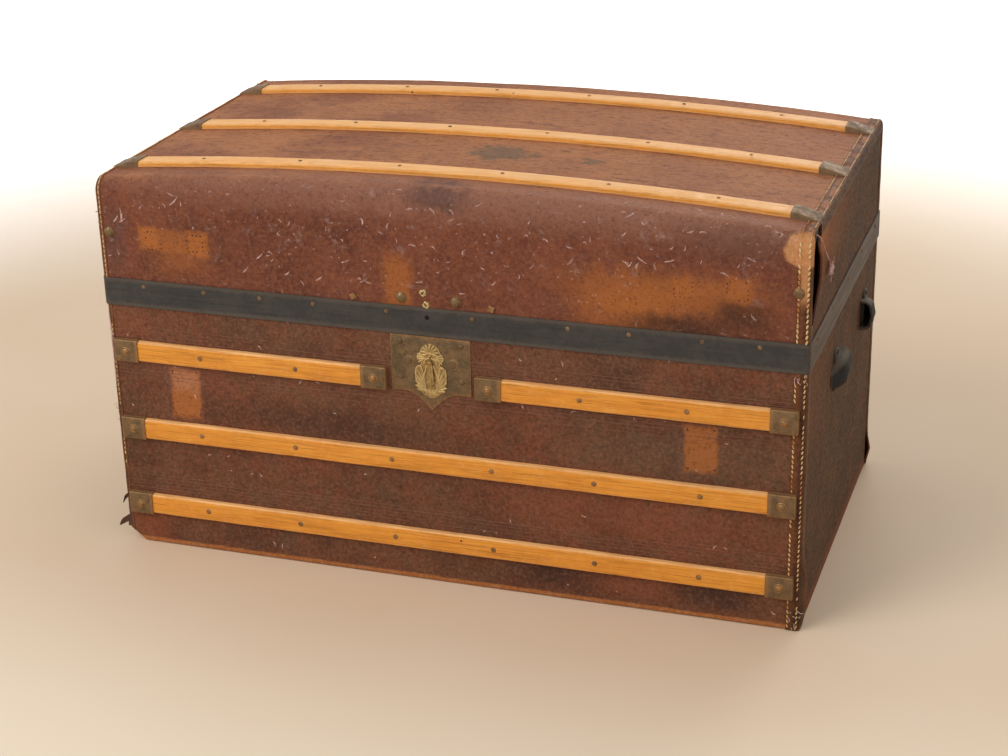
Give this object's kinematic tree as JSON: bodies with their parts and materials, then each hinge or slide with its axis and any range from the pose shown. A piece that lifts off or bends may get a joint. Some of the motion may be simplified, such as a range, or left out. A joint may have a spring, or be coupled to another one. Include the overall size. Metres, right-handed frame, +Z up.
{
  "type": "dome top trunk",
  "caption": "Leather covered dome top trunk with wooden slats, a black metal band over the lid joint, a brass lock plate, cast handle caps and a lid that opens on rear hinges.",
  "frame": {"origin": "centre of the bottom face, on the floor", "axes": "+X along the trunk to the right as seen from the front, +Y to the back, +Z up"},
  "size_m": [0.9492, 0.5405, 0.5368],
  "materials": {
    "carcass_wood": "bare softwood",
    "base_leather": "old waxed, dull",
    "end_leather": "old, streaked, dull",
    "lid_leather": "old, scuffed, satin",
    "binding_leather": "worn, satin",
    "slat_wood": "varnished ash",
    "band_metal": "black japanned, satin",
    "cap_bronze": "dark bronzed",
    "cap_steel": "weathered",
    "escutcheon_brass": "aged",
    "nail_brass": "aged",
    "nail_iron": "dull",
    "handle_iron": "black, dusty",
    "hinge_steel": "black, worn",
    "lock_steel": "dull"
  },
  "bodies": {
    "base": {"bottom_board": "carcass_wood", "base_front_board": "carcass_wood", "base_front_upper_boards": "carcass_wood", "base_back_board": "carcass_wood", "base_left_board": "carcass_wood", "base_right_board": "carcass_wood", "base_front_leather": "base_leather", "base_back_leather": "base_leather", "base_left_leather": "end_leather", "base_right_leather": "end_leather", "base_left_bindings": "binding_leather", "base_right_bindings": "binding_leather", "front_slat_upper_left": "slat_wood", "front_slat_upper_right": "slat_wood", "front_slat_middle": "slat_wood", "front_slat_lower": "slat_wood", "front_slat_caps": "cap_bronze", "lock_plate": "cap_bronze", "lock_escutcheon": "escutcheon_brass", "keyhole_cover_pin": "escutcheon_brass", "front_cap_rivets": "nail_brass", "lock_plate_studs": "nail_brass", "front_slat_nails": "nail_iron", "handle_cap_nails": "nail_iron", "handle_cap_left_front": "handle_iron", "handle_cap_left_rear": "handle_iron", "handle_cap_right_front": "handle_iron", "handle_cap_right_rear": "handle_iron", "hinge_lower_leaf_left": "hinge_steel", "hinge_lower_leaf_right": "hinge_steel", "hinge_pins": "hinge_steel", "hinge_lower_screws": "hinge_steel", "lock_case": "lock_steel"},
    "lid": {"lid_front_board": "carcass_wood", "lid_back_board": "carcass_wood", "lid_left_board": "carcass_wood", "lid_right_board": "carcass_wood", "lid_front_rail": "carcass_wood", "lid_back_rail": "carcass_wood", "lid_top_board": "carcass_wood", "lid_leather_cover": "lid_leather", "lid_left_leather": "end_leather", "lid_right_leather": "end_leather", "lid_left_binding": "binding_leather", "lid_right_binding": "binding_leather", "top_slat_front": "slat_wood", "top_slat_middle": "slat_wood", "top_slat_rear": "slat_wood", "top_slat_caps": "cap_steel", "top_cap_nails": "cap_steel", "top_slat_nails": "nail_iron", "lid_band": "band_metal", "band_nails": "nail_iron", "lid_dome_nails": "nail_brass", "hasp_rivets": "nail_iron", "hinge_upper_leaf_left": "hinge_steel", "hinge_upper_leaf_right": "hinge_steel", "hinge_upper_screws": "hinge_steel"},
    "keyhole_cover": {"keyhole_cover": "escutcheon_brass"},
    "lock_bolt": {"lock_bolt": "lock_steel"}
  },
  "joints": [
    {"name": "lid_hinge", "type": "hinge", "parent": "base", "child": "lid", "pos_m": [0, 0.265, 0.356], "axis": [-1, 0, 0], "range_deg": [0, 100]},
    {"name": "keyhole_cover_swing", "type": "hinge", "parent": "base", "child": "keyhole_cover", "pos_m": [-0.011, -0.2644, 0.3065], "axis": [0, -1, 0], "range_deg": [-60, 60]},
    {"name": "lock_bolt_slide", "type": "slide", "parent": "base", "child": "lock_bolt", "axis": [1, 0, 0], "range_m": [0, 0.012]}
  ]
}
